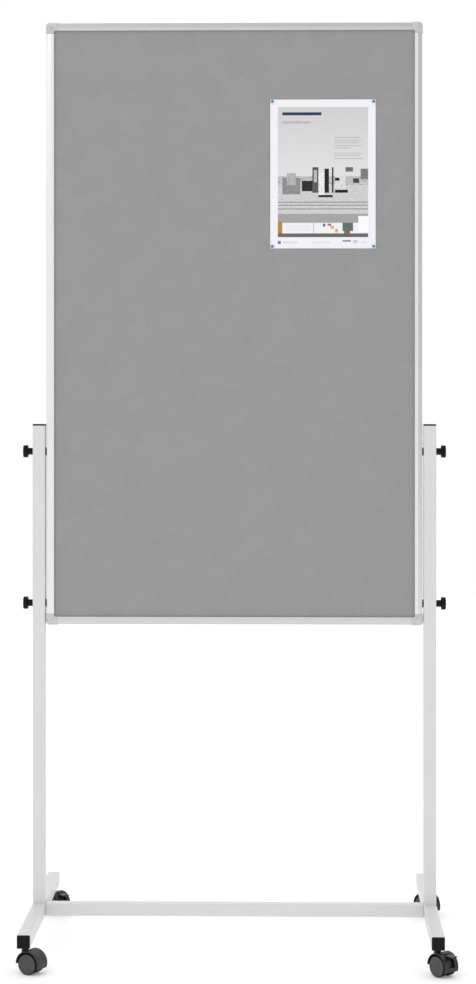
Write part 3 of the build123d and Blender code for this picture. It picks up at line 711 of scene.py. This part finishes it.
def make_knob(name):
    """A lobed clamp knob: threaded stud, round hub and a grip with a ringed face."""
    low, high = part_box(f"{name}_knob")
    side = 1 if low.x > 0 else -1
    near, far = sorted((abs(low.x), abs(high.x)))
    post_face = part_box("right_post")[1].x
    start = post_face + KNOB_GAP
    grip_back = KNOB_HUB_LENGTH
    grip_front = far - start
    radius = high.y
    hub = KNOB_HUB_RADIUS
    rings = stud_rings(start - near) + [
        (0, hub - 0.6 * MM, 0),
        (0.6 * MM, hub - 0.1 * MM, 0),
        (grip_back - 0.6 * MM, hub, 0),
        (grip_back, hub + 0.6 * MM, 0),
        (grip_back, lobed(radius - 1.5 * MM), 0),
        (grip_back + 0.5 * MM, lobed(radius - 0.5 * MM), 0),
        (grip_back + 1.6 * MM, lobed(radius), 0),
        (grip_front - 1.8 * MM, lobed(radius), 0),
        (grip_front - 0.8 * MM, lobed(radius - 0.4 * MM), 0),
        (grip_front - 0.2 * MM, lobed(radius - 1.2 * MM), 0),
        (grip_front, lobed(radius - 2.2 * MM), 0),
        (grip_front, 6.6 * MM, 0),
        (grip_front - 0.5 * MM, 6.2 * MM, 0),
        (grip_front - 0.5 * MM, 5.4 * MM, 0),
        (grip_front - 0.1 * MM, 5.0 * MM, 0),
        (grip_front, 3.5 * MM, 0),
        (grip_front, 0, 0),
    ]
    centre = Vector((side * start, 0, (low.z + high.z) / 2))
    place = Matrix.Translation(centre) @ Matrix((
        (0, 0, side, 0),
        (0, side, 0, 0),
        (-1, 0, 0, 0),
        (0, 0, 0, 1),
    ))
    shape = bmesh.new()
    add_turned(shape, place, rings, FINE_ROUND)
    finishes = [FINISHES["black_plastic"], FINISHES["steel"]]
    new_piece(f"{name}_clamp_knob", shape, finishes, f"{name}_clamp", "black_plastic", f"{name}_knob")


# Casters


def wheel_rings():
    """Return a wheel's rings, from the end of its bore, round the tread, to its outer cap."""
    inner, outer = WHEEL_INNER_FACE, WHEEL_OUTER_FACE
    cup_floor = outer - WHEEL_BORE_END
    disc = 1
    return (
        (cup_floor, 0, disc),
        (cup_floor, WHEEL_BORE_RADIUS, disc),
        (inner, WHEEL_BORE_RADIUS, disc),
        (inner, 4.7 * MM, disc),
        (inner + 0.3 * MM, WHEEL_HUB_RADIUS, disc),
        (cup_floor, WHEEL_HUB_RADIUS, disc),
        (outer - 2.2 * MM, 5.6 * MM, disc),
        (outer - 2.2 * MM, 16.2 * MM, disc),
        (outer - 2.8 * MM, WHEEL_CUP_RADIUS, 0),
        (inner + 0.3 * MM, WHEEL_CUP_RADIUS, 0),
        (inner, 17.1 * MM, 0),
        (inner, 18.9 * MM, 0),
        (inner + 0.35 * MM, 19.6 * MM, 0),
        (inner + 1.1 * MM, 19.95 * MM, 0),
        (inner + 2.6 * MM, TREAD_RADIUS, 0),
        (outer - 2.6 * MM, TREAD_RADIUS, 0),
        (outer - 1.1 * MM, 19.95 * MM, 0),
        (outer - 0.35 * MM, 19.6 * MM, 0),
        (outer - 0.1 * MM, 19.1 * MM, 0),
        (outer - 0.2 * MM, 18.8 * MM, disc),
        (outer - 0.05 * MM, 18.5 * MM, disc),
        (outer - 0.05 * MM, 18.1 * MM, disc),
        (outer - 0.5 * MM, 17.7 * MM, disc),
        (outer - 0.45 * MM, 14 * MM, disc),
        (outer - 0.2 * MM, 9 * MM, disc),
        (outer - 0.05 * MM, 4 * MM, disc),
        (outer, 0, disc),
    )


def make_wheel(corner, which):
    """One caster wheel, turned round the joint that it rolls on."""
    name = f"{corner}_{which}"
    roll = next(joint for joint in frame["joints"] if joint["name"] == f"{name}_roll")
    outward = Vector(roll["axis"])
    if which == "right":
        outward.negate()
    shape = bmesh.new()
    add_turned(shape, facing(Vector(roll["pos_m"]), outward), wheel_rings(), FINE_ROUND)
    finishes = [TREAD, FINISHES["wheel_grey"]]
    node = f"{corner}_caster_{which}_wheel"
    new_piece(f"{name}_twin_wheel", shape, finishes, f"{name}_wheel", "wheel_grey", node)


# Studio


def make_floor():
    """A wide pale floor, which isn't part of the object."""
    shape = bmesh.new()
    bmesh.ops.create_grid(shape, x_segments=FLOOR_CELLS, y_segments=FLOOR_CELLS, size=FLOOR_SIZE / 2)
    mesh = bpy.data.meshes.new("studio_floor")
    shape.to_mesh(mesh)
    shape.free()
    mesh.materials.append(pale_floor())
    floor = bpy.data.objects.new("studio_floor", mesh)
    bpy.context.scene.collection.objects.link(floor)


def make_world():
    """White surroundings. Mirrored, they show a bright window in a darker frame in front."""
    world = bpy.data.worlds.new("white_studio")
    bpy.context.scene.world = world
    world.cycles.sampling_method = "NONE"
    world.use_nodes = True
    nodes, links = world.node_tree.nodes, world.node_tree.links
    light = nodes["Background"]
    light.inputs["Color"].default_value = (1, 1, 1, 1)
    white = nodes.new("ShaderNodeBackground")
    white.inputs["Color"].default_value = (1, 1, 1, 1)
    place = nodes.new("ShaderNodeTexCoord")
    nearness = nodes.new("ShaderNodeVectorMath")
    nearness.operation = "DOT_PRODUCT"
    nearness.inputs[1].default_value = WINDOW_TOWARD.normalized()
    links.new(place.outputs["Generated"], nearness.inputs[0])
    mirrored = nodes.new("ShaderNodeMath")
    mirrored.operation = "MAXIMUM"
    bands = ((WINDOW_EDGES, FRAME_LEVEL, WINDOW_LEVEL), (FRAME_EDGES, SURROUND_LEVEL, FRAME_LEVEL))
    for target, (edges, start, end) in zip(mirrored.inputs, bands):
        band = nodes.new("ShaderNodeMapRange")
        band.inputs["From Min"].default_value, band.inputs["From Max"].default_value = edges
        band.inputs["To Min"].default_value = start
        band.inputs["To Max"].default_value = end
        links.new(nearness.outputs["Value"], band.inputs["Value"])
        links.new(band.outputs["Result"], target)
    rays = nodes.new("ShaderNodeLightPath")
    level = nodes.new("ShaderNodeMix")
    mirrored_level, even_level = [s for s in level.inputs if s.type == "VALUE"][1:]
    even_level.default_value = SURROUND_LEVEL
    links.new(rays.outputs["Is Diffuse Ray"], level.inputs["Factor"])
    links.new(mirrored.outputs["Value"], mirrored_level)
    links.new(level.outputs["Result"], light.inputs["Strength"])
    mix = nodes.new("ShaderNodeMixShader")
    links.new(rays.outputs["Is Camera Ray"], mix.inputs["Fac"])
    links.new(light.outputs["Background"], mix.inputs[1])
    links.new(white.outputs["Background"], mix.inputs[2])
    links.new(mix.outputs["Shader"], nodes["World Output"].inputs["Surface"])
    bpy.context.scene.view_settings.view_transform = "Standard"


def make_key_light():
    """One large soft light in front, to the upper left."""
    lamp = bpy.data.lights.new("key_light", "AREA")
    lamp.size = KEY_SIZE
    lamp.energy = KEY_WATTS
    key = bpy.data.objects.new("key_light", lamp)
    key.location = KEY_PLACE
    key.rotation_euler = (KEY_AIM - KEY_PLACE).to_track_quat("-Z", "Y").to_euler()
    bpy.context.scene.collection.objects.link(key)


def make_camera():
    """The camera, level and a little to the right of the middle."""
    lens = bpy.data.cameras.new("camera")
    lens.sensor_fit = "VERTICAL"
    lens.sensor_height = SENSOR_HEIGHT
    lens.lens = LENS
    lens.shift_x, lens.shift_y = LENS_SHIFT
    camera = bpy.data.objects.new("camera", lens)
    camera.location = CAMERA_PLACE
    camera.rotation_euler = (pi / 2, 0, CAMERA_TURN_LEFT)
    bpy.context.scene.collection.objects.link(camera)
    bpy.context.scene.camera = camera


make_camera()
make_world()
make_key_light()
make_floor()
dress_cad_nodes()
make_felt()
make_sheet()
make_pins()
make_crossbar_bolts()
make_post_bolts()
for side in ("left", "right"):
    for level in ("lower", "upper"):
        make_knob(f"{side}_{level}")
for corner in ("front_left", "front_right", "rear_left", "rear_right"):
    for which in ("left", "right"):
        make_wheel(corner, which)
